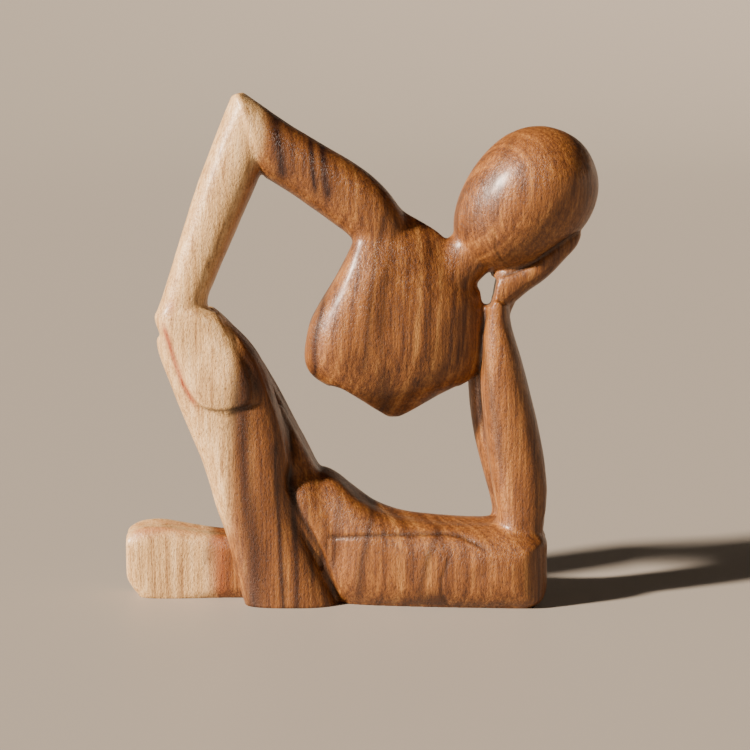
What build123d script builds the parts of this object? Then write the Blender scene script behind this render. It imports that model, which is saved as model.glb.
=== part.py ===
from build123d import *
import os

# Seated thinking figure, carved from one block of wood.
# X runs across the figure, +Y goes away from its front, +Z is up; millimetres.

os.makedirs("parts", exist_ok=True)

# Heights of the joints above the base
high_elbow_height = 200
shoulder_height = 163
nape_height = 172
neck_root_height = 138
cheek_shoulder_height = 124
cheek_elbow_height = 28
knee_height = 120
folded_thigh_height = 36
knee_crease_height = 30
foot_height = 30
head_height = 176

# Reach of the joints to each side of the middle line, negative to the left
high_elbow_reach = -47
shoulder_reach = 10
nape_reach = 13
neck_root_reach = 34
cheek_shoulder_reach = 52
cheek_elbow_reach = 67
knee_reach = -70
ankle_reach = -31
foot_reach = -102
folded_hip_reach = -17
hip_reach = -22
folded_knee_reach = 79
head_reach = 73

# Head: an egg, blunt at the crown and drawn out at the chin
head_radius = 26
crown_length = 28
chin_length = 41
head_lean = 45.5

# Torso
torso_width = 78
torso_depth = 43
torso_length = 92.5
torso_lean = 14

# Neck
neck_width = 22
neck_depth = 21
neck_in_chin = 13

# Arms
upper_arm_width = 25
upper_arm_depth = 24
forearm_width = 22
forearm_depth = 20
elbow_point = 17.5
wrist_inset = 5
wrist_rise = 5.5
cheek_upper_width = 21
cheek_upper_depth = 18
cheek_forearm_width = 23
cheek_forearm_depth = 20

# Hands
knee_hand_width = 28
knee_hand_depth = 16
knee_hand_length = 44
knee_hand_slope = 65.7
knee_hand_squareness = 3.5
cheek_hand_width = 14
cheek_hand_depth = 22
cheek_hand_length = 42
cheek_hand_squareness = 2.6
palm_lean = 39.5
palm_gap = -0.5
fingertip_overhang = 4

# Raised leg
shin_width = 37
shin_depth = 23
thigh_width = 26
thigh_depth = 23
thigh_inset = 8
thigh_drop = 2

# Folded leg and foot
folded_leg_depth = 45
foot_depth = 22
foot_squareness = 4

# Layers from front to back
shin_layer = -9
knee_arm_layer = -5
wrist_layer = -9
knee_hand_layer = -17.5
thigh_layer = 9
foot_layer = 8.5
parting_layer = -2
cheek_forearm_layer = -8
cheek_upper_layer = 8
cheek_hand_layer = -1
folded_leg_layer = -2
folded_knee_layer = -3.5

# Below the base, so that the cut at the base leaves a flat face
buried = 3

# Outline of a section: its points, and how square its corners are (2 is an ellipse)
outline_points = 12
arm_squareness = 2.3
leg_squareness = 2.8

# Joints
high_elbow = Vector(high_elbow_reach, knee_arm_layer, high_elbow_height)
shoulder = Vector(shoulder_reach, knee_arm_layer, shoulder_height)
knee = Vector(knee_reach, shin_layer, knee_height)
ankle = Vector(ankle_reach, shin_layer, 0)
knee_wrist = Vector(knee.X - wrist_inset, wrist_layer, knee.Z + wrist_rise)
knee_hand_run = Vector(1, 0, 0).rotate(Axis.Y, knee_hand_slope)
fingertips = Vector(knee_wrist.X, knee_hand_layer, knee_wrist.Z) + knee_hand_run * knee_hand_length
thigh_knee = Vector(knee.X + thigh_inset, thigh_layer, knee.Z - thigh_drop)
hip = Vector(hip_reach, thigh_layer, knee_crease_height)
folded_hip = Vector(folded_hip_reach, folded_leg_layer, 0)
folded_knee = Vector(folded_knee_reach, folded_knee_layer, 0)
toes = Vector(foot_reach, foot_layer, 0)
heel = Vector(folded_hip_reach, foot_layer, 0)
torso_top = Vector(nape_reach, 0, nape_height)
torso_tip = torso_top - Vector(0, 0, torso_length)
head_axis = Vector(1, 0, 0).rotate(Axis.Y, -head_lean)
head_centre = Vector(head_reach, 0, head_height)
neck_root = Vector(neck_root_reach, 0, neck_root_height)
neck_end = head_centre - head_axis * (chin_length - neck_in_chin)
palm_run = Vector(1, 0, 0).rotate(Axis.Y, -palm_lean)
palm_side = palm_run.rotate(Axis.Y, 90)
palm = head_centre + palm_side * (head_radius + palm_gap)
cheek_wrist = Vector(palm.X, cheek_hand_layer, palm.Z) - palm_run * cheek_hand_length
cheek_tip = Vector(palm.X, cheek_hand_layer, palm.Z) + palm_run * fingertip_overhang
cheek_forearm_wrist = Vector(cheek_wrist.X, cheek_forearm_layer, cheek_wrist.Z)
cheek_elbow = Vector(cheek_elbow_reach, cheek_forearm_layer, cheek_elbow_height)
cheek_shoulder = Vector(cheek_shoulder_reach, cheek_upper_layer, cheek_shoulder_height)
cheek_upper_elbow = Vector(cheek_elbow_reach, cheek_upper_layer, cheek_elbow_height)


def oval(width, depth, squareness, lean):
    """Draw a closed rounded section; lean moves its front and back sideways."""
    corner = 2 / squareness
    points = []
    for index in range(outline_points):
        direction = Vector(1, 0).rotate(Axis.Z, 360 * index / outline_points)
        across = abs(direction.X) ** corner
        forward = abs(direction.Y) ** corner
        if direction.X < 0:
            across = -across
        if direction.Y < 0:
            forward = -forward
        points.append((across * width / 2 - lean * forward**2, forward * depth / 2))
    with BuildLine() as outline:
        Spline(*points, periodic=True)
    return outline.line


def limb(start, end, width, depth, stations, squareness=arm_squareness, lean=0):
    """Loft sections along the bone from start to end, across the front plane.

    A station is the share of the bone's length, the sideways bow to the left
    of the bone's run, the shares of the width and of the depth, and the push
    towards the back.
    """
    bone = end - start
    run = Vector(bone.X, 0, bone.Z).normalized()
    side = Vector(-run.Z, 0, run.X)
    sections = []
    for along, bow, width_share, depth_share, push in stations:
        centre = start + bone * along + side * bow + Vector(0, push, 0)
        plane = Plane(origin=centre, x_dir=side, z_dir=side.cross(Vector(0, 1, 0)))
        with BuildSketch(plane) as section:
            add(oval(width * width_share, depth * depth_share, squareness, lean * depth_share))
            make_face()
        sections.append(section.sketch)
    loft(sections)


def mitre(joint, first_end, second_end):
    """Plane that halves the bend at a joint, its positive side towards the second limb."""
    first = (first_end - joint).normalized()
    second = (second_end - joint).normalized()
    return Plane(origin=joint, z_dir=second - first)


def resting(height, profile):
    """Stations of a limb that lies on the base, from its top and bottom heights.

    A row is the share of the bone's length, the share of the height, the
    bottom's height, the share of the depth, and the push towards the back.
    """
    stations = []
    for along, height_share, bottom, depth_share, push in profile:
        top = height * height_share
        stations.append((along, (top + bottom) / 2, top - bottom, depth_share, push))
    return stations


# Head
with BuildPart() as head:
    with BuildSketch(Plane(origin=head_centre, x_dir=head_axis, z_dir=(0, -1, 0))):
        with BuildLine():
            EllipticalCenterArc((0, 0), crown_length, head_radius, start_angle=0, arc_size=90)
            EllipticalCenterArc((0, 0), chin_length, head_radius, start_angle=90, arc_size=90)
            Line((-chin_length, 0), (crown_length, 0))
        make_face()
    revolve(axis=Axis(head_centre, head_axis))
head.part.label = "head"

# Torso: a heart shape, its ridge left of the middle, that ends in a free tip
torso_stations = (
    (0, -3, 0.13, 0.25, 0),
    (0.09, -1, 0.31, 0.5, 0),
    (0.17, 3, 0.47, 0.7, 0),
    (0.28, 4.5, 0.62, 0.85, 0),
    (0.43, 5, 0.84, 0.95, 0),
    (0.58, 2.5, 0.97, 1, 0),
    (0.71, 1.5, 0.99, 0.98, 0),
    (0.81, 1, 0.87, 0.86, 0),
    (0.88, 2, 0.56, 0.7, 0),
    (0.94, 1.5, 0.32, 0.47, 0),
    (1, 1, 0.08, 0.13, 0),
)
with BuildPart() as torso:
    limb(torso_top, torso_tip, torso_width, torso_depth, torso_stations, lean=torso_lean)
torso.part.label = "torso"

# Neck
neck_stations = (
    (-0.1, 0, 1.5, 1.35, 0),
    (0.45, 0, 1, 1, 0),
    (1, 0, 1.25, 1.2, 0),
)
with BuildPart() as neck:
    limb(neck_root, neck_end, neck_width, neck_depth, neck_stations)
    add(head.part, mode=Mode.SUBTRACT)
    add(torso.part, mode=Mode.SUBTRACT)
neck.part.label = "neck"

# Arm on the raised knee
elbow_mitre = mitre(high_elbow, knee_wrist, shoulder)
elbow_outward = (high_elbow - knee_wrist).normalized() + (high_elbow - shoulder).normalized()
elbow_trim = Plane(
    origin=high_elbow + elbow_outward.normalized() * elbow_point,
    z_dir=elbow_outward,
)
upper_arm_stations = (
    (-0.4, 0, 1, 1, 0),
    (0, 0, 1, 1, 0),
    (0.4, 0.5, 0.98, 1, 0),
    (0.8, 0, 1.03, 1, 0),
    (1.1, -5, 0.8, 0.7, -1),
)
with BuildPart() as knee_arm_upper:
    limb(high_elbow, shoulder, upper_arm_width, upper_arm_depth, upper_arm_stations)
    split(bisect_by=elbow_mitre, keep=Keep.TOP)
    split(bisect_by=elbow_trim, keep=Keep.BOTTOM)
    add(torso.part, mode=Mode.SUBTRACT)
knee_arm_upper.part.label = "knee_arm_upper"

wrist_mitre = mitre(knee_wrist, fingertips, high_elbow)
forearm_stations = (
    (-0.4, -1.5, 1.05, 1.1, 0),
    (0, -1.5, 1.05, 1.1, 0),
    (0.4, -2, 1.02, 1.05, 0),
    (0.8, -2, 0.86, 0.95, 0),
    (1.2, 0, 1.1, 1, 0),
)
with BuildPart() as knee_arm_forearm:
    limb(high_elbow, knee_wrist, forearm_width, forearm_depth, forearm_stations)
    split(bisect_by=elbow_mitre, keep=Keep.BOTTOM)
    split(bisect_by=elbow_trim, keep=Keep.BOTTOM)
    split(bisect_by=wrist_mitre, keep=Keep.TOP)
knee_arm_forearm.part.label = "knee_arm_forearm"

knee_hand_stations = (
    (-0.15, -1, 0.75, 1.2, 0),
    (0.05, -0.5, 0.9, 1.2, 0),
    (0.25, 0.5, 0.97, 1.1, 0),
    (0.45, 1, 1, 1, 0),
    (0.65, 1.5, 1, 0.95, 0),
    (0.82, 2, 0.91, 0.85, 0),
    (0.95, 3, 0.72, 0.7, 0),
    (1.05, 4.5, 0.4, 0.5, 0),
)
with BuildPart() as hand_on_knee:
    limb(
        knee_wrist,
        fingertips,
        knee_hand_width,
        knee_hand_depth,
        knee_hand_stations,
        squareness=knee_hand_squareness,
    )
    split(bisect_by=wrist_mitre, keep=Keep.BOTTOM)
hand_on_knee.part.label = "hand_on_knee"

# Raised leg: the shin in front, the thigh behind it
leg_parting = Plane.XZ.offset(-parting_layer)
shin_stations = (
    (0, -3, 0.78, 0.85, 0),
    (0.09, -0.5, 0.99, 0.95, 0),
    (0.22, 2, 1.08, 1, 0),
    (0.35, 2.5, 1.05, 1, 0),
    (0.47, 2.5, 1, 1, 0),
    (0.6, 0.5, 0.92, 1, 0),
    (0.75, -0.5, 0.88, 1, 0),
    (0.88, -0.5, 0.95, 1.02, 0),
    (1, 0.5, 1, 1.03, 0),
    (1.12, 1, 1.05, 1.05, 0),
    (1.24, 1.5, 1.1, 1.05, 0),
)
with BuildPart() as raised_shin:
    limb(knee, ankle, shin_width, shin_depth, shin_stations, squareness=leg_squareness)
    split(bisect_by=Plane.XY, keep=Keep.TOP)
    split(bisect_by=leg_parting, keep=Keep.TOP)
    add(hand_on_knee.part, mode=Mode.SUBTRACT)
raised_shin.part.label = "raised_shin"

# Folded leg, lying on the base: thigh above, shin below, parted at the crease
folded_profile = (
    (0, 1.59, -buried, 0.82, 5.5),
    (0.1, 1.42, -buried, 0.89, 4),
    (0.24, 1.15, -buried, 0.93, 2),
    (0.4, 1.02, -buried, 0.95, 1),
    (0.6, 0.98, -buried, 0.98, 0),
    (0.8, 0.95, -buried, 1.03, 0),
    (0.92, 0.91, -buried, 1, 0),
    (1, 0.75, 9, 0.6, 0),
)
folded_stations = resting(folded_thigh_height, folded_profile)
crease = Plane.XY.offset(knee_crease_height)
with BuildPart() as folded_thigh:
    limb(folded_hip, folded_knee, 1, folded_leg_depth, folded_stations, squareness=leg_squareness)
    split(bisect_by=crease, keep=Keep.TOP)
    add(raised_shin.part, mode=Mode.SUBTRACT)
folded_thigh.part.label = "folded_thigh"

with BuildPart() as folded_shin:
    limb(folded_hip, folded_knee, 1, folded_leg_depth, folded_stations, squareness=leg_squareness)
    split(bisect_by=crease, keep=Keep.BOTTOM)
    split(bisect_by=Plane.XY, keep=Keep.TOP)
    add(raised_shin.part, mode=Mode.SUBTRACT)
folded_shin.part.label = "folded_shin"

# Foot of the folded leg, behind the raised shin
foot_profile = (
    (0, 0.92, 8, 0.85, 0),
    (0.1, 1.05, -2, 1, 0),
    (0.35, 0.98, -buried, 1, 0),
    (0.7, 0.95, -buried, 1, 0),
    (1, 0.94, -buried, 1, 0),
)
with BuildPart() as folded_foot:
    limb(toes, heel, 1, foot_depth, resting(foot_height, foot_profile), squareness=foot_squareness)
    split(bisect_by=Plane.XY, keep=Keep.TOP)
    split(bisect_by=leg_parting, keep=Keep.BOTTOM)
folded_foot.part.label = "folded_foot"

thigh_stations = (
    (-0.1, -4.5, 0.45, 0.65, 0),
    (0.05, -3, 0.7, 0.9, 0),
    (0.2, -1.5, 0.88, 1, 0),
    (0.4, -0.5, 0.96, 1, 0),
    (0.6, 0, 1, 1, 0),
    (0.8, 0.5, 1.02, 1, 0),
    (1.05, 1, 1.1, 1, 0),
)
with BuildPart() as raised_thigh:
    limb(thigh_knee, hip, thigh_width, thigh_depth, thigh_stations, squareness=leg_squareness)
    split(bisect_by=leg_parting, keep=Keep.BOTTOM)
    add(knee_arm_forearm.part, mode=Mode.SUBTRACT)
    add(folded_thigh.part, mode=Mode.SUBTRACT)
    add(folded_shin.part, mode=Mode.SUBTRACT)
    add(folded_foot.part, mode=Mode.SUBTRACT)
raised_thigh.part.label = "raised_thigh"

# Arm that props the head, its elbow on the folded knee
cheek_mitre = mitre(cheek_forearm_wrist, cheek_elbow, palm)
cheek_hand_stations = (
    (-0.1, 1, 1, 0.95, 0),
    (0.06, 1.5, 1, 0.98, 0),
    (0.17, 2, 1.1, 1, 0),
    (0.32, 1.2, 0.99, 1, 0),
    (0.48, 0, 0.9, 1, 0),
    (0.68, 0, 0.75, 0.95, 0),
    (0.84, -0.5, 0.56, 0.8, 0),
    (0.95, -0.5, 0.3, 0.55, 0),
    (1, -0.5, 0.12, 0.3, 0),
)
with BuildPart() as hand_on_cheek:
    limb(
        cheek_wrist,
        cheek_tip,
        cheek_hand_width,
        cheek_hand_depth,
        cheek_hand_stations,
        squareness=cheek_hand_squareness,
    )
    split(bisect_by=cheek_mitre, keep=Keep.TOP)
    add(head.part, mode=Mode.SUBTRACT)
    add(torso.part, mode=Mode.SUBTRACT)
hand_on_cheek.part.label = "hand_on_cheek"

cheek_forearm_stations = (
    (-0.12, 1, 0.44, 0.9, 2),
    (0, 0.5, 0.44, 0.9, 1.5),
    (0.1, -0.5, 0.51, 0.9, 1),
    (0.22, -0.5, 0.7, 0.95, 0),
    (0.35, 0, 0.86, 1, 0),
    (0.5, 1, 0.97, 1, 0),
    (0.65, 2, 1.02, 1, 0),
    (0.8, 2.5, 1, 1, 0),
    (0.9, 2, 0.9, 1, 0),
    (1, 1, 0.85, 0.95, 0),
)
with BuildPart() as cheek_arm_forearm:
    limb(cheek_forearm_wrist, cheek_elbow, cheek_forearm_width, cheek_forearm_depth, cheek_forearm_stations)
    split(bisect_by=cheek_mitre, keep=Keep.BOTTOM)
    add(torso.part, mode=Mode.SUBTRACT)
    add(folded_thigh.part, mode=Mode.SUBTRACT)
    add(folded_shin.part, mode=Mode.SUBTRACT)
cheek_arm_forearm.part.label = "cheek_arm_forearm"

cheek_upper_stations = (
    (0.04, -1, 0.6, 0.8, 0),
    (0.15, 0, 0.85, 1, 0),
    (0.35, 0, 1.1, 1, 0),
    (0.7, 0, 1, 1, 0),
    (1, 0, 0.9, 1, 0),
)
with BuildPart() as cheek_arm_upper:
    limb(cheek_shoulder, cheek_upper_elbow, cheek_upper_width, cheek_upper_depth, cheek_upper_stations)
    add(torso.part, mode=Mode.SUBTRACT)
    add(cheek_arm_forearm.part, mode=Mode.SUBTRACT)
    add(folded_thigh.part, mode=Mode.SUBTRACT)
    add(folded_shin.part, mode=Mode.SUBTRACT)
cheek_arm_upper.part.label = "cheek_arm_upper"

pieces = (
    head,
    neck,
    torso,
    knee_arm_upper,
    knee_arm_forearm,
    hand_on_knee,
    raised_thigh,
    raised_shin,
    folded_thigh,
    folded_shin,
    folded_foot,
    cheek_arm_upper,
    cheek_arm_forearm,
    hand_on_cheek,
)

# The origin is the middle of the base, under the middle of the overall box
overall = Compound([piece.part for piece in pieces]).bounding_box()
middle = overall.center()
to_origin = Location((-middle.X, -middle.Y, -overall.min.Z))
for piece in pieces:
    placed = piece.part.moved(to_origin)
    placed.label = piece.part.label
    export_step(placed, f"parts/{placed.label}.step")
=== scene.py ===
import math

import bmesh
import bpy
import numpy as np
import openvdb as vdb
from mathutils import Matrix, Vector


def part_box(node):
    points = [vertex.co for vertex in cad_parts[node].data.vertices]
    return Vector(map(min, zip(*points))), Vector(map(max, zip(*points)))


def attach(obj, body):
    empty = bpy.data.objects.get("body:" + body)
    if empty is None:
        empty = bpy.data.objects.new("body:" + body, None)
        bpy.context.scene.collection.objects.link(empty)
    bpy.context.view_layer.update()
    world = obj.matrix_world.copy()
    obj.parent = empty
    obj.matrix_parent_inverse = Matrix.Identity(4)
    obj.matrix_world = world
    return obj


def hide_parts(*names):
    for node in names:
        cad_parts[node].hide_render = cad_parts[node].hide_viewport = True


# Seated thinking figure, carved from one block of wood and varnished.
# The carving is worked out in millimetres, in the row frame; Blender's objects are in metres.

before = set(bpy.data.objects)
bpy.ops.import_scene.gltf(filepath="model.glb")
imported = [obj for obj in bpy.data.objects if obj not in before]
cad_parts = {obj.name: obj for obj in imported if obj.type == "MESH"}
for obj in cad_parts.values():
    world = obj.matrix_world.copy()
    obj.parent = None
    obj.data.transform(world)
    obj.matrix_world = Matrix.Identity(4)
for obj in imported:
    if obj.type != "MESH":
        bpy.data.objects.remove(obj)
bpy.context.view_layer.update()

MM = 1000.0
# Size of a grid cell, and how many cells from a surface distances are kept
VOXEL = 0.7
NEAR_BAND = 12
WIDE_BAND = 14
# Room round a solid on the grid, and how far the base is carried down while smoothing
MARGIN = 8.0
SKIRT = 6.0
# Gap between touching solids that still counts as joined
GLUE = 0.15
# Blur of the whole carving, and of the places where limbs melt into each other
SOFT_SIGMA = 0.65
MELT_SIGMA = 2.8
# Heights that count as the flat base, on the carving and on the solids
BASE_SNAP = 0.55
BASE_TOLERANCE = 0.02
# Steps per millimetre to which CAD points are rounded when they are welded
WELD_STEPS = 1000

TRANSFORM = vdb.createLinearTransform(voxelSize=VOXEL)


# ---------------------------------------------------------------- distances on a grid


def cad_mesh(node):
    """Points in millimetres and triangles of a CAD node, welded."""
    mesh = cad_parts[node].data
    points = np.empty(len(mesh.vertices) * 3, np.float32)
    mesh.vertices.foreach_get("co", points)
    points = points.reshape(-1, 3).astype(np.float64) * MM
    mesh.calc_loop_triangles()
    triangles = np.empty(len(mesh.loop_triangles) * 3, np.int32)
    mesh.loop_triangles.foreach_get("vertices", triangles)
    triangles = triangles.reshape(-1, 3)
    keys = np.round(points * WELD_STEPS).astype(np.int64)
    first, inverse = np.unique(keys, axis=0, return_index=True, return_inverse=True)[1:]
    points = points[first]
    triangles = inverse.reshape(-1)[triangles]
    whole = (
        (triangles[:, 0] != triangles[:, 1])
        & (triangles[:, 1] != triangles[:, 2])
        & (triangles[:, 2] != triangles[:, 0])
    )
    return points, triangles[whole]


def extend_base(points, triangles):
    """Carry the flat base straight down, so that smoothing leaves the base's edge sharp."""
    on_base = points[:, 2] < BASE_TOLERANCE
    cap = on_base[triangles].all(axis=1)
    if not cap.any():
        return points, triangles
    caps = triangles[cap]
    edges = np.concatenate([caps[:, [0, 1]], caps[:, [1, 2]], caps[:, [2, 0]]])
    directed = {(int(a), int(b)) for a, b in edges}
    rim = np.array([edge for edge in directed if (edge[1], edge[0]) not in directed])
    lower = points.copy()
    lower[:, 2] -= SKIRT
    shift = len(points)
    walls = np.concatenate(
        [
            np.stack([rim[:, 0], rim[:, 1], rim[:, 1] + shift], axis=1),
            np.stack([rim[:, 0], rim[:, 1] + shift, rim[:, 0] + shift], axis=1),
        ]
    )
    joined = np.concatenate([triangles[~cap], walls, caps + shift])
    return np.concatenate([points, lower]), joined


def distances(points, triangles, start, shape, band, quads=False):
    """Signed distances in millimetres on the cells from start, negative inside."""
    faces = {"quads" if quads else "triangles": np.ascontiguousarray(triangles, np.uint32)}
    grid = vdb.FloatGrid.createLevelSetFromPolygons(
        np.ascontiguousarray(points, np.float32), transform=TRANSFORM, halfWidth=band, **faces
    )
    values = np.empty(shape, np.float32)
    grid.copyToArray(values, ijk=tuple(int(v) for v in start))
    return values


def to_quads(values, start):
    """Points and quads of the surface where the values are 0, facing outwards."""
    grid = vdb.FloatGrid(float(values.max()))
    grid.transform = TRANSFORM
    grid.gridClass = vdb.GridClass.LEVEL_SET
    grid.copyFromArray(np.ascontiguousarray(values), ijk=tuple(int(v) for v in start))
    points, quads = grid.convertToQuads(isovalue=0.0)
    points = points.astype(np.float64)
    quads = quads.astype(np.int64)
    corners = points[quads]
    normals = np.cross(corners[:, 2] - corners[:, 0], corners[:, 3] - corners[:, 1])
    volume = (normals * corners.mean(axis=1)).sum()
    if volume < 0:
        quads = quads[:, ::-1]
    return points, quads


def keep_largest(points, quads):
    """Drop every separate shell but the one with the most points."""
    label = np.arange(len(points))
    while True:
        lowest = label[quads].min(axis=1)
        new = label.copy()
        for corner in range(4):
            np.minimum.at(new, quads[:, corner], lowest)
        new = new[new]
        if (new == label).all():
            break
        label = new
    names, counts = np.unique(label, return_counts=True)
    main = label == names[counts.argmax()]
    renumber = np.cumsum(main) - 1
    return points[main], renumber[quads[main[quads[:, 0]]]]


# How far a blur reaches, in sigmas; half the step of a gradient, in cells; furthest move onto a surface
BLUR_REACH = 2.6
SLOPE_STEP = 0.6
SETTLE_LIMIT = 0.5


def gaussian(values, sigma):
    """Blur with a bell of sigma millimetres along each axis."""
    reach = int(math.ceil(BLUR_REACH * sigma / VOXEL))
    steps = np.arange(-reach, reach + 1)
    weights = np.exp(-0.5 * (steps * VOXEL / sigma) ** 2)
    weights = (weights / weights.sum()).astype(np.float32)
    for axis in range(3):
        pad = [(0, 0)] * 3
        pad[axis] = (reach, reach)
        padded = np.pad(values, pad, mode="edge")
        total = np.zeros_like(values)
        count = values.shape[axis]
        for index, weight in enumerate(weights):
            window = [slice(None)] * 3
            window[axis] = slice(index, index + count)
            total += weight * padded[tuple(window)]
        values = total
    return values


def cell_corners(share):
    """The eight corners of a grid cell, each with its weight at that share of the way across."""
    for x in (0, 1):
        for y in (0, 1):
            for z in (0, 1):
                weight = (
                    np.where(x, share[:, 0], 1 - share[:, 0])
                    * np.where(y, share[:, 1], 1 - share[:, 1])
                    * np.where(z, share[:, 2], 1 - share[:, 2])
                )
                yield (x, y, z), weight


def sample(values, start, points):
    """Values between the cells at points, in millimetres."""
    place = points / VOXEL - start
    limit = np.array(values.shape) - 2
    cell = np.clip(np.floor(place).astype(np.int64), 0, limit)
    share = np.clip(place - cell, 0, 1)
    result = np.zeros(len(points))
    for (x, y, z), weight in cell_corners(share):
        result += weight * values[cell[:, 0] + x, cell[:, 1] + y, cell[:, 2] + z]
    return result


def slope(values, start, points):
    """Gradient of the values at points."""
    result = np.empty((len(points), 3))
    for axis in range(3):
        step = np.zeros(3)
        step[axis] = SLOPE_STEP * VOXEL
        ahead = sample(values, start, points + step)
        behind = sample(values, start, points - step)
        result[:, axis] = (ahead - behind) / (2 * SLOPE_STEP * VOXEL)
    return result


def settle(values, start, points, rounds=3):
    """Move points onto the surface where the values are 0."""
    for turn in range(rounds):
        value = sample(values, start, points)
        gradient = slope(values, start, points)
        size = (gradient**2).sum(axis=1) + 1e-3
        step = np.clip(value / size, -SETTLE_LIMIT, SETTLE_LIMIT)
        points = points - gradient * step[:, None]
    return points


# ---------------------------------------------------------------- the carved surface

NODES = sorted(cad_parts)
boxes = np.array([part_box(node) for node in NODES]) * MM
grid_low = np.floor((boxes[:, 0].min(axis=0) - MARGIN) / VOXEL).astype(np.int64)
grid_high = np.ceil((boxes[:, 1].max(axis=0) + MARGIN) / VOXEL).astype(np.int64)
grid_shape = tuple(int(v) for v in grid_high - grid_low + 1)
grid_lines = [(np.arange(count) + low) * VOXEL for count, low in zip(grid_shape, grid_low)]
grid_x, grid_y, grid_z = grid_lines

# Where two limbs melt into each other: x, z, reach and strength
MELTS = (
    (12, 163, 20, 0.9),
    (36, 144, 12, 0.9),
    (50, 154, 6, 0.7),
    (66, 33, 14, 0.7),
    (-47, 195, 9, 0.4),
    (-83, 127, 6, 0.7),
    (-63, 129, 6, 0.9),
    (66, 122, 5, 0.6),
    (-20, 48, 14, 0.8),
)

near = {}
union = np.full(grid_shape, NEAR_BAND * VOXEL, np.float32)
for node in NODES:
    points, triangles = extend_base(*cad_mesh(node))
    start = np.floor((points.min(axis=0) - MARGIN) / VOXEL).astype(np.int64)
    start = np.maximum(start, grid_low)
    end = np.ceil((points.max(axis=0) + MARGIN) / VOXEL).astype(np.int64)
    end = np.minimum(end, grid_high)
    shape = tuple(int(v) for v in end - start + 1)
    near[node] = (start, distances(points, triangles, start, shape, NEAR_BAND))
    window = tuple(slice(int(a), int(a + s)) for a, s in zip(start - grid_low, shape))
    union[window] = np.minimum(union[window], near[node][1])

points, quads = keep_largest(*to_quads(union - GLUE, grid_low))
points = settle(union, grid_low, points, rounds=1)
whole = distances(points, quads, grid_low, grid_shape, WIDE_BAND, quads=True)


# Room round a rod on the grid
ROD_MARGIN = 4


def rod(first, second, radius):
    """Window of the grid round a rod with round ends, and the signed distances to it there."""
    first, second = np.array(first, float), np.array(second, float)
    room = radius + ROD_MARGIN
    low = np.floor((np.minimum(first, second) - room) / VOXEL).astype(int) - grid_low
    high = np.ceil((np.maximum(first, second) + room) / VOXEL).astype(int) - grid_low
    low = np.maximum(low, 0)
    high = np.minimum(high, np.array(grid_shape))
    axes = [line[a:b] for line, a, b in zip(grid_lines, low, high)]
    spots = np.stack(np.meshgrid(*axes, indexing="ij"), axis=-1)
    run = second - first
    travel = np.clip(((spots - first) @ run) / (run @ run), 0, 1)
    away = np.linalg.norm(spots - first - travel[..., None] * run, axis=-1) - radius
    return tuple(slice(a, b) for a, b in zip(low, high)), away.astype(np.float32)


def below_line(first, second, window):
    """Distances to a line of (x, z) points, positive on its right-hand side from first to second."""
    run = np.array(second, float) - np.array(first, float)
    run /= np.linalg.norm(run)
    x = grid_x[window[0], None] - first[0]
    z = grid_z[None, window[2]] - first[1]
    return (x * run[1] - z * run[0])[:, None, :].astype(np.float32)


# Wood left standing where the thigh, the shin and the folded leg meet, and at the torso's tip
FILLS = (
    ((-42, 0, 76), (-26, -1, 47), 11.5),
    ((-26, -2, 44), (-6, -3, 20), 14.0),
    ((-21, 2, 44), (-8, 1, 37), 11.5),
    ((14.2, 0, 87), (14.4, 0, 82.8), 2.6),
)
for first, second, radius in FILLS:
    window, away = rod(first, second, radius)
    whole[window] = np.minimum(whole[window], away)

# Half the length of a cut that goes right through the block, front to back
THROUGH = 30

# The opening under the chin, between the neck and the propping wrist: x, z and radius
CHIN_OPENING = (
    (57.0, 138.2, 1.3),
    (55.8, 136.8, 2.0),
    (54.8, 135.2, 2.7),
    (54.2, 133.6, 3.0),
    (54.2, 131.8, 2.8),
    (54.0, 130.0, 2.3),
)
for x, z, radius in CHIN_OPENING:
    window, away = rod((x, -THROUGH, z), (x, THROUGH, z), radius)
    whole[window] = np.maximum(whole[window], -away)

# The wrist runs on into the heel of the hand
WRIST_START = (59.4, -2.5, 125)
WRIST_END = (64.6, -1, 139.5)
WRIST_RADIUS = 5.0
window, away = rod(WRIST_START, WRIST_END, WRIST_RADIUS)
whole[window] = np.minimum(whole[window], away)

# The torso's lower edges run straight to its tip
TIP_SPAN = (-12, 42)
TIP_HEIGHTS = (76, 94)
TIP_EDGES = (((-3.0, 90.2), (12.6, 79.3)), ((16.4, 79.2), (36.5, 90.4)))
tip = (
    slice(*[int(x / VOXEL) - grid_low[0] for x in TIP_SPAN]),
    slice(None),
    slice(*[int(z / VOXEL) - grid_low[2] for z in TIP_HEIGHTS]),
)
for first, second in TIP_EDGES:
    whole[tip] = np.maximum(whole[tip], below_line(first, second, tip))

# The folded knee is rounded under its right end
UNDER_AXIS = (71, 9)
UNDER_RADIUS = 9.0
UNDER_REACH = 40
under_front = (UNDER_AXIS[0], -UNDER_REACH, UNDER_AXIS[1])
under_back = (UNDER_AXIS[0], UNDER_REACH, UNDER_AXIS[1])
window, away = rod(under_front, under_back, UNDER_RADIUS)
right = grid_x[window[0]] > UNDER_AXIS[0]
low = grid_z[window[2]] < UNDER_AXIS[1]
corner = right[:, None, None] & low[None, None, :]
whole[window] = np.where(corner, np.maximum(whole[window], away), whole[window])

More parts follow.
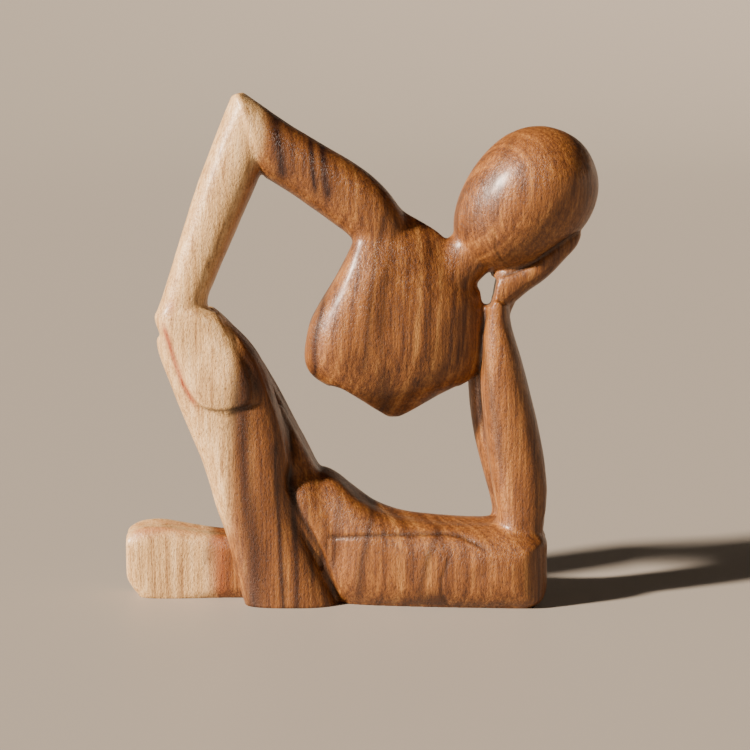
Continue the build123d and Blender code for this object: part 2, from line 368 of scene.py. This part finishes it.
# It is also rounded down its front right edge; the elbow above stands inside that curve
KNEE_AXIS = (64, -10)
KNEE_RADIUS = 16.0
KNEE_HEIGHTS = (-20, 60)
KNEE_TOP = 50
window, away = rod((*KNEE_AXIS, KNEE_HEIGHTS[0]), (*KNEE_AXIS, KNEE_HEIGHTS[1]), KNEE_RADIUS)
right = grid_x[window[0]] > KNEE_AXIS[0]
ahead = grid_y[window[1]] < KNEE_AXIS[1]
low = grid_z[window[2]] < KNEE_TOP
corner = right[:, None, None] & ahead[None, :, None] & low[None, None, :]
whole[window] = np.where(corner, np.maximum(whole[window], away), whole[window])

soft = gaussian(whole, SOFT_SIGMA)
melted = gaussian(whole, MELT_SIGMA)
melt = np.zeros((grid_shape[0], grid_shape[2]))
for x, z, reach, strength in MELTS:
    away = ((grid_x[:, None] - x) ** 2 + (grid_z[None, :] - z) ** 2) / reach**2
    melt = np.maximum(melt, strength * np.exp(-(away**2)))
carved = soft + (melted - soft) * melt[:, None, :].astype(np.float32)
height = grid_z[None, None, :].astype(np.float32)
carved = np.maximum(carved, -height)

points, quads = keep_largest(*to_quads(carved, grid_low))
points = settle(carved, grid_low, points)
points[points[:, 2] < BASE_SNAP, 2] = 0.0
print("surface", len(points), len(quads))


def vertex_normals(points, quads):
    """Area-weighted normals of the closed surface."""
    corners = points[quads]
    faces = np.cross(corners[:, 2] - corners[:, 0], corners[:, 3] - corners[:, 1])
    normals = np.zeros_like(points)
    for corner in range(4):
        np.add.at(normals, quads[:, corner], faces)
    return normals / np.maximum(np.linalg.norm(normals, axis=1), 1e-9)[:, None]


normals = vertex_normals(points, quads)

# ---------------------------------------------------------------- tool marks, creases and stains


# Points along each side of a noise lattice, and a shift that keeps places on it positive
LATTICE_COUNT = 32
LATTICE_SHIFT = 1000.0


def lattice_noise(points, cell, seed):
    """Smooth noise between -1 and 1; cell is the size of its lattice along each axis."""
    count = LATTICE_COUNT
    lattice = np.random.default_rng(seed).uniform(-1, 1, (count, count, count))
    place = points / np.array(cell) + LATTICE_SHIFT
    base = np.floor(place).astype(np.int64)
    share = place - base
    share = share * share * (3 - 2 * share)
    result = np.zeros(len(points))
    for offset, weight in cell_corners(share):
        corner = (base + offset) % count
        result += weight * lattice[corner[:, 0], corner[:, 1], corner[:, 2]]
    return result


# What is left of a stroke at its very ends
STROKE_END = 0.25


def stroke(points, path, width, taper=0.0):
    """Bell of that width about a path of (x, z) points, seen from the front.

    With a taper it thins out over that length at its ends.
    """
    flat = points[:, [0, 2]]
    path = np.array(path, float)
    lengths = np.linalg.norm(np.diff(path, axis=0), axis=1)
    total = lengths.sum()
    nearest = np.full(len(points), np.inf)
    along = np.zeros(len(points))
    done = 0.0
    for first, second, length in zip(path[:-1], path[1:], lengths):
        run = (second - first) / length
        travel = np.clip((flat - first) @ run, 0, length)
        away = np.linalg.norm(flat - first - travel[:, None] * run, axis=1)
        closer = away < nearest
        nearest[closer] = away[closer]
        along[closer] = done + travel[closer]
        done += length
    bell = np.exp(-((nearest / width) ** 2))
    if taper:
        ends = np.minimum(along, total - along) / taper
        bell *= np.clip(STROKE_END + ends, 0, 1)
    return bell


# Creases and cracks in the front: path of (x, z), depth, width
GROOVES = (
    (
        ((-15, 29.6), (-5.3, 30.3), (3.1, 31.1), (12.8, 31.5), (34.8, 32), (42.8, 31.1), (54.2, 26)),
        0.5,
        0.9,
    ),
    (
        ((-56, 124), (-48.3, 115.3), (-42, 106), (-36.6, 91.1), (-33.3, 83.8), (-29.5, 74.4), (-28, 62)),
        0.8,
        1.4,
    ),
    (((-30, 60), (-29.5, 51.4), (-24, 37.6), (-17.6, 25.1), (-13.4, 13), (-9.2, 0.9)), 1.2, 1.5),
    (((-68, 86.5), (-62.6, 84.8), (-57.2, 84.4), (-50, 85.7), (-41.7, 87.8)), 0.45, 0.8),
    (((-53.7, 117.9), (-50, 110.8)), 0.3, 0.7),
    (((-14.2, 29), (-13.3, 23)), 0.6, 0.8),
    (((38.5, 25.1), (34.8, 13.5), (34.8, 6.6), (38.6, -0.3)), 0.3, 0.7),
    (
        ((58.6, 140.2), (65.5, 142.4), (74, 146.7), (84.3, 154.1), (89.8, 157.6), (95, 159.5)),
        0.8,
        0.9,
    ),
    (((56.3, 160.5), (56.8, 153.2), (59.3, 148), (63.6, 143.7)), 0.25, 0.55),
    (((53.8, 128), (51.5, 116), (51, 97)), 0.8, 1.1),
)
GROOVE_TAPER = 6
# Extra strength of the painted shade along the creases, beyond their depth
CREASE_SHADE_BOOST = 0.3
# How quickly marks on the front fade as the surface turns away from it
FRONT_SHARE = 2.5
front = np.clip(-normals[:, 1] * FRONT_SHARE, 0, 1)
sunk = np.zeros(len(points))
# Mask of painted shade along the creases, used to darken their colour
crease_shade = np.zeros(len(points))
for path, depth, width in GROOVES:
    bell = stroke(points, path, width, taper=GROOVE_TAPER) * front
    sunk = np.maximum(sunk, depth * bell)
    crease_shade = np.maximum(crease_shade, bell * min(1.0, depth + CREASE_SHADE_BOOST))

# A ridge down the torso: height, path, width and taper
RIDGE_HEIGHT = 1.2
RIDGE_PATH = ((9, 150), (4, 130), (2.3, 115))
RIDGE_WIDTH = 6
RIDGE_TAPER = 12
ridge = RIDGE_HEIGHT * stroke(points, RIDGE_PATH, RIDGE_WIDTH, taper=RIDGE_TAPER) * front

# Broad and fine knife facets all over: height, size of a facet and seed
FACETS = ((0.16, (7, 7, 11), 3), (0.05, (2.6, 2.6, 5), 4))
facets = 0.0
for facet_height, cell, seed in FACETS:
    facets = facets + facet_height * lattice_noise(points, cell, seed)

# Hammered bumps round the propping elbow
BUMP_HEIGHT = 0.3
BUMP_PATH = ((56, 24), (76, 34))
BUMP_WIDTH = 15
bumps = stroke(points, BUMP_PATH, BUMP_WIDTH) * lattice_noise(points, (5, 5, 5), 5)

# The relief dies away towards the base
RELIEF_START = 1.5
rise = facets + ridge + BUMP_HEIGHT * bumps - sunk
rise *= np.clip(points[:, 2] / RELIEF_START, 0, 1)
points = points + normals * rise[:, None]
points[:, 2] = np.maximum(points[:, 2], 0.0)
normals = vertex_normals(points, quads)

# Dark streaks that run through the block, and painted shade down the right edge of the hand on the knee:
# path of (x, z), width, strength
STREAKS_AND_SHADE = (
    (((-36, 210), (-34, 196), (-32, 180)), 3.0, 0.9),
    (((-29, 205), (-27.5, 182)), 1.2, 0.5),
    (((-20.5, 200), (-17, 174)), 1.6, 1.0),
    (((-15.5, 198), (-12.5, 172)), 1.7, 1.0),
    (((-10.5, 192), (-8, 172)), 0.8, 0.4),
    (((-14.5, 133), (-19, 112), (-19, 93)), 1.5, 0.85),
    (((11, 168), (7, 150), (4, 130), (2, 100)), 1.5, 0.55),
    (((16, 168), (11, 140), (9, 105)), 1.0, 0.4),
    (((12, 80), (10, 104)), 3.2, 0.5),
    (((-46, 112), (-50, 85), (-48, 52), (-45, 21), (-44, -4)), 4.2, 0.75),
    # Painted shade down the right edge of the hand on the knee, where it turns away from the light
    (((-47, 110), (-44.5, 100), (-46, 90)), 4.5, 0.75),
    (((-35, 72), (-34, 40), (-32.5, -4)), 1.2, 0.85),
    (((-29, 62), (-27, 30), (-26, -4)), 1.2, 0.8),
    (((-22, 44), (-20, 10)), 1.0, 0.5),
    (((7, 48), (3.1, 32.4), (0, 20), (-2, 2)), 1.8, 0.7),
    (((34, 36), (28, 23), (24, 4)), 1.5, 0.6),
    (((-8, 50), (-10, 30), (-12, 14)), 1.6, 0.5),
    (((22, 3), (38, 5)), 4.0, 0.6),
    (((79, 194.5), (79.5, 191.5)), 1.8, 0.75),
    (((66, 200), (52, 178), (46, 160)), 1.4, 0.4),
    (((-63, 31), (-66, 14)), 3.2, 0.45),
    (((52, 112), (56, 90), (60, 60)), 1.6, 0.45),
)
MARK_TAPER = 5
WANDER = 1.2
sideways = WANDER * lattice_noise(points, (9, 9, 30), 7)
wandered = points + np.stack([sideways] + [np.zeros(len(points))] * 2, axis=1)
dark = np.zeros(len(points))
for path, width, strength in STREAKS_AND_SHADE:
    dark = np.maximum(dark, strength * stroke(wandered, path, width, taper=MARK_TAPER))

# Reddish stains on the hand on the knee, its wrist and the foot, and painted shade on the thigh beside
# that hand and down its forearm's inner side: as the streaks
STAINS_AND_SHADE = (
    (((-82.5, 121.7), (-79.7, 112.4), (-74.4, 96), (-68.2, 85.8)), 1.3, 0.9),
    (((-78, 132), (-80, 124)), 2.2, 0.5),
    (((-100, 28), (-84, 31), (-62, 30)), 2.4, 0.55),
    (((-62, 30), (-61, 0)), 4.0, 0.5),
    # Painted shade on the thigh beside the hand on the knee
    (((-44, 118), (-36, 92)), 3.0, 0.5),
    # Painted shade down the shaded inner facet of that forearm
    (((-43, 187), (-53, 160), (-62.5, 136)), 1.8, 0.45),
)
red = np.zeros(len(points))
for path, width, strength in STAINS_AND_SHADE:
    red = np.maximum(red, strength * stroke(points, path, width, taper=MARK_TAPER) * front)

# ---------------------------------------------------------------- pieces


def label_faces(points, quads):
    """For each face the node whose solid is nearest."""
    centres = points[quads].mean(axis=1)
    scores = np.full((len(NODES), len(centres)), NEAR_BAND * VOXEL)
    for index, node in enumerate(NODES):
        start, values = near[node]
        end = start + np.array(values.shape) - 1
        inside = ((centres > start * VOXEL) & (centres < end * VOXEL)).all(axis=1)
        scores[index, inside] = sample(values, start, centres[inside])
    return scores.argmin(axis=0)


def quad_edges(quads):
    """The directed edges of the faces."""
    return np.concatenate([quads[:, [i, (i + 1) % 4]] for i in range(4)])


def face_neighbours(quads):
    """Pairs of faces that share an edge."""
    edges = quad_edges(quads)
    owner = np.tile(np.arange(len(quads)), 4)
    key = np.sort(edges, axis=1)
    order = np.lexsort((key[:, 1], key[:, 0]))
    key = key[order]
    owner = owner[order]
    same = (key[1:] == key[:-1]).all(axis=1)
    return np.stack([owner[:-1][same], owner[1:][same]], axis=1)


def smooth_labels(labels, pairs, rounds=6):
    """Give a face the label that most of its neighbours have."""
    for turn in range(rounds):
        votes = np.zeros((len(labels), len(NODES)), np.int32)
        votes[np.arange(len(labels)), labels] += 1
        np.add.at(votes, (pairs[:, 0], labels[pairs[:, 1]]), 1)
        np.add.at(votes, (pairs[:, 1], labels[pairs[:, 0]]), 1)
        best = votes.argmax(axis=1)
        stay = votes[np.arange(len(labels)), labels] >= votes[np.arange(len(labels)), best]
        labels = np.where(stay, labels, best)
    return labels


def drop_islands(labels, pairs, least=300, rounds=3):
    """Give small stray patches of a label to what surrounds them."""
    for turn in range(rounds):
        alike = labels[pairs[:, 0]] == labels[pairs[:, 1]]
        patch = np.arange(len(labels))
        while True:
            lowest = np.minimum(patch[pairs[alike, 0]], patch[pairs[alike, 1]])
            new = patch.copy()
            np.minimum.at(new, pairs[alike, 0], lowest)
            np.minimum.at(new, pairs[alike, 1], lowest)
            new = new[new]
            if (new == patch).all():
                break
            patch = new
        size = np.bincount(patch, minlength=len(labels))[patch]
        stray = size < least
        if not stray.any():
            break
        for first, second in ((0, 1), (1, 0)):
            edge = stray[pairs[:, first]] & ~stray[pairs[:, second]]
            labels[pairs[edge, first]] = labels[pairs[edge, second]]
    return labels


def piece_rim(faces):
    """Directed edges of the faces that no other face of theirs shares."""
    edges = quad_edges(faces)
    count = edges.max() + 1
    forward = edges[:, 0] * count + edges[:, 1]
    backward = edges[:, 1] * count + edges[:, 0]
    return edges[~np.isin(forward, backward)]


def part_pinches(labels, quads, rounds=6):
    """Where a piece touches itself at a single point, give its faces there to a neighbour."""
    for turn in range(rounds):
        found = False
        for index in range(len(NODES)):
            rim = piece_rim(quads[labels == index])
            for vertex in np.flatnonzero(np.bincount(rim.ravel()) > 2):
                around = (quads == vertex).any(axis=1)
                others = labels[around & (labels != index)]
                labels[around & (labels == index)] = np.bincount(others).argmax()
                found = True
        if not found:
            break
    return labels


pairs = face_neighbours(quads)
labels = drop_islands(smooth_labels(label_faces(points, quads), pairs), pairs)
labels = part_pinches(labels, quads)


# The lips at a seam: steps inwards to each of their two levels, length of a step,
# the distance from the surface where the steps stop, the least slope, and rounds of smoothing
LIP_STEPS = (2, 5)
LIP_STRIDE = 0.7
LIP_DEPTH = 4.5
LIP_SLOPE = 0.3
LIP_ROUNDS = 4


def seam_depths(points, quads, labels):
    """For points on a seam between pieces, two places below the surface, smoothed along it."""
    lowest = np.full(len(points), len(NODES))
    highest = np.full(len(points), -1)
    for corner in range(4):
        np.minimum.at(lowest, quads[:, corner], labels)
        np.maximum.at(highest, quads[:, corner], labels)
    on_seam = lowest != highest
    seam = np.flatnonzero(on_seam)
    edges = quad_edges(quads)
    edges = edges[on_seam[edges].all(axis=1)]
    levels = []
    deep = points.copy()
    for steps in LIP_STEPS:
        for step in range(steps):
            inward = slope(whole, grid_low, deep[seam])
            size = np.maximum(np.linalg.norm(inward, axis=1), LIP_SLOPE)[:, None]
            room = np.clip(LIP_DEPTH + sample(whole, grid_low, deep[seam]), 0, 1)[:, None]
            deep[seam] -= LIP_STRIDE * room * inward / size
        for turn in range(LIP_ROUNDS):
            total = deep.copy()
            count = np.ones(len(points))
            np.add.at(total, edges[:, 0], deep[edges[:, 1]])
            np.add.at(count, edges[:, 0], 1)
            deep[seam] = (total / count[:, None])[seam]
        levels.append(deep.copy())
    return levels


seam_levels = seam_depths(points, quads, labels)


def make_piece(name, points, quads, normals, marks):
    """A closed mesh object: its part of the surface, with lips inwards at its seams and walls across."""
    used = np.unique(quads)
    renumber = np.full(len(points), -1)
    renumber[used] = np.arange(len(used))
    rim = piece_rim(quads)
    rim_points = np.unique(rim)
    lip = np.full(len(points), -1)
    lip[rim_points] = len(used) + np.arange(len(rim_points))
    first, second = renumber[rim[:, 0]], renumber[rim[:, 1]]
    upper_first, upper_second = lip[rim[:, 0]], lip[rim[:, 1]]
    shift = len(rim_points)
    faces = np.concatenate(
        [
            renumber[quads],
            np.stack([second, first, upper_first, upper_second], axis=1),
            np.stack([upper_second, upper_first, upper_first + shift, upper_second + shift], axis=1),
        ]
    )
    levels = [level[rim_points] for level in seam_levels]
    every = np.concatenate([points[used], *levels])
    source = np.concatenate([used, rim_points, rim_points])
    mesh = bpy.data.meshes.new(name)
    mesh.from_pydata((every / MM).tolist(), [], faces.tolist())
    shell = bmesh.new()
    shell.from_mesh(mesh)
    open_edges = [edge for edge in shell.edges if edge.is_boundary]
    walls = bmesh.ops.holes_fill(shell, edges=open_edges, sides=0)["faces"]
    bmesh.ops.triangulate(shell, faces=walls)
    still_open = sum(not edge.is_manifold for edge in shell.edges)
    shell.to_mesh(mesh)
    shell.free()
    mesh.polygons.foreach_set("use_smooth", np.ones(len(mesh.polygons), bool))
    mesh.update()
    mesh.normals_split_custom_set_from_vertices(normals[source].tolist())
    for mark, values in marks.items():
        layer = mesh.attributes.new(mark, "FLOAT", "POINT")
        layer.data.foreach_set("value", values[source].astype(np.float32))
    piece = bpy.data.objects.new(name, mesh)
    bpy.context.scene.collection.objects.link(piece)
    print(name, len(quads), "walls", len(walls), "open", still_open)
    return piece


# ---------------------------------------------------------------- wood


def linear(code):
    """Linear colour of a hex code."""
    result = []
    for start in (0, 2, 4):
        channel = int(code[start : start + 2], 16) / 255
        if channel <= 0.04045:
            result.append(channel / 12.92)
        else:
            result.append(((channel + 0.055) / 1.055) ** 2.4)
    return (*result, 1.0)


class Graph:
    """Shader nodes of one material; a value is a number or another node's output."""

    def __init__(self, material):
        material.use_nodes = True
        self.tree = material.node_tree
        self.shader = self.tree.nodes["Principled BSDF"]

    def node(self, kind, inputs, output=0, **settings):
        node = self.tree.nodes.new(kind)
        for name, value in settings.items():
            setattr(node, name, value)
        for key, value in inputs.items():
            self.feed(node.inputs[key], value)
        return node.outputs[output]

    def feed(self, socket, value):
        if isinstance(value, bpy.types.NodeSocket):
            self.tree.links.new(value, socket)
        else:
            socket.default_value = value

    def math(self, operation, first, second=0.0, clamp=False):
        inputs = {0: first, 1: second}
        return self.node("ShaderNodeMath", inputs, operation=operation, use_clamp=clamp)

    def blend(self, *parts):
        """Sum of values, each times its weight."""
        total = None
        for value, weight in parts:
            part = self.math("MULTIPLY", value, weight)
            total = part if total is None else self.math("ADD", total, part)
        return total

    def spread(self, value, low, high, to_low=0.0, to_high=1.0):
        inputs = {0: value, 1: low, 2: high, 3: to_low, 4: to_high}
        return self.node("ShaderNodeMapRange", inputs, interpolation_type="SMOOTHSTEP")

    def mix(self, share, first, second, blend="MIX"):
        inputs = {0: share, 6: first, 7: second}
        return self.node("ShaderNodeMix", inputs, output=2, data_type="RGBA", blend_type=blend)

    def stretched(self, vector, x, y, z):
        return self.node("ShaderNodeVectorMath", {0: vector, 1: (x, y, z)}, operation="MULTIPLY")

    def noise(self, vector, detail=3.0, roughness=0.5):
        inputs = {"Vector": vector, "Scale": 1.0, "Detail": detail, "Roughness": roughness}
        return self.node("ShaderNodeTexNoise", inputs)

    def line_noise(self, value, detail=3.0, roughness=0.5):
        inputs = {"W": value, "Scale": 1.0, "Detail": detail, "Roughness": roughness}
        return self.node("ShaderNodeTexNoise", inputs, noise_dimensions="1D")

    def ramp(self, value, stops):
        node = self.tree.nodes.new("ShaderNodeValToRGB")
        elements = node.color_ramp.elements
        while len(elements) < len(stops):
            elements.new(0.5)
        for element, (place, code) in zip(elements, stops):
            element.position = place
            element.color = linear(code)
        self.feed(node.inputs[0], value)
        return node.outputs[0]

    def mark(self, name):
        return self.node("ShaderNodeAttribute", {}, output=2, attribute_name=name)


wood = bpy.data.materials.new("varnished_wood")
graph = Graph(wood)

# Place in the block, in millimetres; the grain runs up Z
place = graph.node("ShaderNodeTexCoord", {}, output=3)
place = graph.node("ShaderNodeVectorMath", {0: place, "Scale": MM}, operation="SCALE")
split = graph.tree.nodes.new("ShaderNodeSeparateXYZ")
graph.feed(split.inputs[0], place)
across, inward, up = split.outputs

# Growth rings about a heart far to the right and behind: how the block waves along the trunk,
# how the sapwood's edge leans over the height, and how wide and ragged that edge is
PITH = (120.0, 40.0)
SAPWOOD_RADIUS = 187.0
WAVE = 9.0
LEAN_HEIGHT = 200.0
LEAN = -18.0
EDGE_WIDTH = 3.5
RINGS_PER_MM = 0.2
waver = graph.noise(graph.stretched(place, 0.02, 0.02, 0.009), detail=2.0)
off_x = graph.math("SUBTRACT", across, PITH[0])
off_y = graph.math("SUBTRACT", inward, PITH[1])
squares = [graph.math("POWER", off, 2.0) for off in (off_x, off_y)]
radius = graph.math("SQRT", graph.math("ADD", *squares))
height_share = graph.math("POWER", graph.math("DIVIDE", up, LEAN_HEIGHT), 2.0)
edge = graph.math("ADD", graph.math("MULTIPLY", height_share, LEAN), SAPWOOD_RADIUS)
depth = graph.math("SUBTRACT", edge, radius)
depth = graph.math("ADD", depth, graph.math("MULTIPLY", graph.math("SUBTRACT", waver, 0.5), WAVE))

# The wood's tone, as shares of its rings, its streaks and its fibre
HEARTWOOD = ((0.34, "40220E"), (0.45, "643B1B"), (0.54, "7F5026"), (0.66, "A2723E"))
SAPWOOD = ((0.36, "9A7246"), (0.5, "C9A16C"), (0.64, "DDBB8A"))
fibre = graph.noise(graph.stretched(place, 0.9, 0.9, 0.035), detail=4.0, roughness=0.6)
streak = graph.noise(graph.stretched(place, 0.28, 0.28, 0.012), detail=3.0, roughness=0.55)
rings = graph.line_noise(graph.math("MULTIPLY", depth, RINGS_PER_MM), detail=3.0, roughness=0.55)
heartwood = graph.ramp(graph.blend((rings, 0.35), (streak, 0.17), (fibre, 0.48)), HEARTWOOD)
sapwood = graph.ramp(graph.blend((fibre, 0.6), (streak, 0.4)), SAPWOOD)
colour = graph.mix(graph.spread(depth, -EDGE_WIDTH, EDGE_WIDTH), sapwood, heartwood)

# Dark streaks and reddish stains, some of them painted shade, and painted shade in the creases
STREAK_AND_SHADE_COLOUR = "26100A"
RED_STAIN_AND_SHADE = "8A3F1E"
# Near-black colour of the painted shade in the creases
CREASE_SHADE_COLOUR = "1A0B05"
CREASE_SHARE = 0.75
# Where the fibre's noise is taken to begin and end
FIBRE_LOW, FIBRE_HIGH = 0.3, 0.7
ragged = graph.spread(fibre, FIBRE_LOW, FIBRE_HIGH, 0.75, 1.25)
# The streak colour also paints shade beside the hand on the knee
darkening = graph.math("MULTIPLY", graph.mark("dark"), ragged, clamp=True)
colour = graph.mix(darkening, colour, linear(STREAK_AND_SHADE_COLOUR))
# The reddish colour also paints shade beside the hand on the knee and down its forearm
reddening = graph.math("MULTIPLY", graph.mark("red"), ragged, clamp=True)
colour = graph.mix(reddening, colour, linear(RED_STAIN_AND_SHADE))
# Painted shade: the creases are darkened in colour
crease_shading = graph.math("MULTIPLY", graph.mark("crease_shade"), CREASE_SHARE)
colour = graph.mix(crease_shading, colour, linear(CREASE_SHADE_COLOUR))

# Open pores: short dashes along the grain
PORE_COLOUR = "5A3419"
PORE_SHARE = 0.45
pores = graph.spread(graph.noise(graph.stretched(place, 3.0, 3.0, 0.6), detail=2.0), 0.52, 0.66)
pitting = graph.math("MULTIPLY", pores, PORE_SHARE)
colour = graph.mix(pitting, colour, linear(PORE_COLOUR), blend="MULTIPLY")
graph.feed(graph.shader.inputs["Base Color"], colour)

# Thin varnish over the wood: roughness from the fibre, and a fine relief
ROUGH, SMOOTH = 0.5, 0.38
RELIEF_STRENGTH = 0.5
RELIEF_DISTANCE = 0.0006
gloss = graph.spread(fibre, FIBRE_LOW, FIBRE_HIGH, ROUGH, SMOOTH)
graph.feed(graph.shader.inputs["Roughness"], gloss)
graph.shader.inputs["Specular IOR Level"].default_value = 0.35
graph.shader.inputs["Coat Weight"].default_value = 0.25
graph.shader.inputs["Coat Roughness"].default_value = 0.28
peel = graph.noise(graph.stretched(place, 1.1, 1.1, 0.7), detail=3.0)
relief = graph.math("ADD", graph.blend((fibre, 0.25), (pores, -0.35)), peel)
bump_inputs = {"Strength": RELIEF_STRENGTH, "Distance": RELIEF_DISTANCE, "Height": relief}
graph.feed(graph.shader.inputs["Normal"], graph.node("ShaderNodeBump", bump_inputs))

marks = {"dark": dark, "red": red, "crease_shade": crease_shade}
for index, node in enumerate(NODES):
    piece = make_piece("carved_" + node, points, quads[labels == index], normals, marks)
    piece.data.materials.append(wood)
    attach(piece, "root")
    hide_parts(node)

# ---------------------------------------------------------------- floor, light and camera

# A flat round floor that curves up far away on every side
FLOOR_RADIUS = 4.0
RIM_RADIUS = 9.0
RIM_HEIGHT = 2.2
FLOOR_SIDES = 96
FLAT_SHARES = (0.25, 0.5, 0.75, 1.0)
RIM_STEPS = 12
rounds = [(FLOOR_RADIUS * share, 0.0) for share in FLAT_SHARES]
for step in range(1, RIM_STEPS + 1):
    share = step / RIM_STEPS
    rounds.append((FLOOR_RADIUS + (RIM_RADIUS - FLOOR_RADIUS) * share, RIM_HEIGHT * share**2))
floor_shell = bmesh.new()
loops = []
for radius_here, rise_here in rounds:
    loop = []
    for side in range(FLOOR_SIDES):
        turn = 2 * math.pi * side / FLOOR_SIDES
        spot = (radius_here * math.cos(turn), radius_here * math.sin(turn), rise_here)
        loop.append(floor_shell.verts.new(spot))
    loops.append(loop)
floor_shell.faces.new(loops[0])
for inner, outer in zip(loops[:-1], loops[1:]):
    for side in range(FLOOR_SIDES):
        after = (side + 1) % FLOOR_SIDES
        floor_shell.faces.new((inner[side], outer[side], outer[after], inner[after]))
floor_mesh = bpy.data.meshes.new("floor")
floor_shell.to_mesh(floor_mesh)
floor_shell.free()
floor_mesh.polygons.foreach_set("use_smooth", np.ones(len(floor_mesh.polygons), bool))
floor = bpy.data.objects.new("floor", floor_mesh)
bpy.context.scene.collection.objects.link(floor)

FLOOR_COLOUR = "948D84"
FLOOR_ROUGHNESS = 0.55
paving = bpy.data.materials.new("pale_floor")
floor_graph = Graph(paving)
floor_graph.shader.inputs["Base Color"].default_value = linear(FLOOR_COLOUR)
floor_graph.shader.inputs["Roughness"].default_value = FLOOR_ROUGHNESS
floor_mesh.materials.append(paving)


# What the lights are aimed at
FIGURE_MIDDLE = (0, 0, 0.11)


def aimed_light(kind, name, place, power, colour, **settings):
    """A light at place that shines on the figure's middle."""
    data = bpy.data.lights.new(name, kind)
    data.energy = power
    data.color = linear(colour)[:3]
    for setting, value in settings.items():
        setattr(data, setting, value)
    light = bpy.data.objects.new(name, data)
    light.location = place
    aim = Vector(FIGURE_MIDDLE) - Vector(place)
    light.rotation_euler = aim.to_track_quat("-Z", "Y").to_euler()
    bpy.context.scene.collection.objects.link(light)


# A strong light from the left, a weak window beside it, and a faint sky
KEY_PLACE = (-1.6, -0.82, 1.05)
KEY_POWER = 15.5
KEY_ANGLE = math.radians(6)
WINDOW_PLACE = (-1.5, -0.7, 0.9)
WINDOW_POWER = 2.5
WINDOW_SIZE = 0.8
SKY_COLOUR = "E4E0DA"
SKY_STRENGTH = 0.02
aimed_light("SUN", "key", KEY_PLACE, KEY_POWER, "FFEEDC", angle=KEY_ANGLE)
aimed_light("AREA", "window", WINDOW_PLACE, WINDOW_POWER, "FFF6EC", size=WINDOW_SIZE)
world = bpy.data.worlds.new("studio")
world.use_nodes = True
sky = world.node_tree.nodes["Background"].inputs
sky[0].default_value = linear(SKY_COLOUR)
sky[1].default_value = SKY_STRENGTH
bpy.context.scene.world = world

CAMERA_PLACE = (0.00651, -1.01672, 0.23063)
CAMERA_TILT = math.radians(82.523)
CAMERA_LENS = 115.2
SENSOR_WIDTH = 36.0
camera_data = bpy.data.cameras.new("camera")
camera_data.lens = CAMERA_LENS
camera_data.sensor_width = SENSOR_WIDTH
camera = bpy.data.objects.new("camera", camera_data)
camera.location = CAMERA_PLACE
camera.rotation_euler = (CAMERA_TILT, 0, 0)
bpy.context.scene.collection.objects.link(camera)
bpy.context.scene.camera = camera
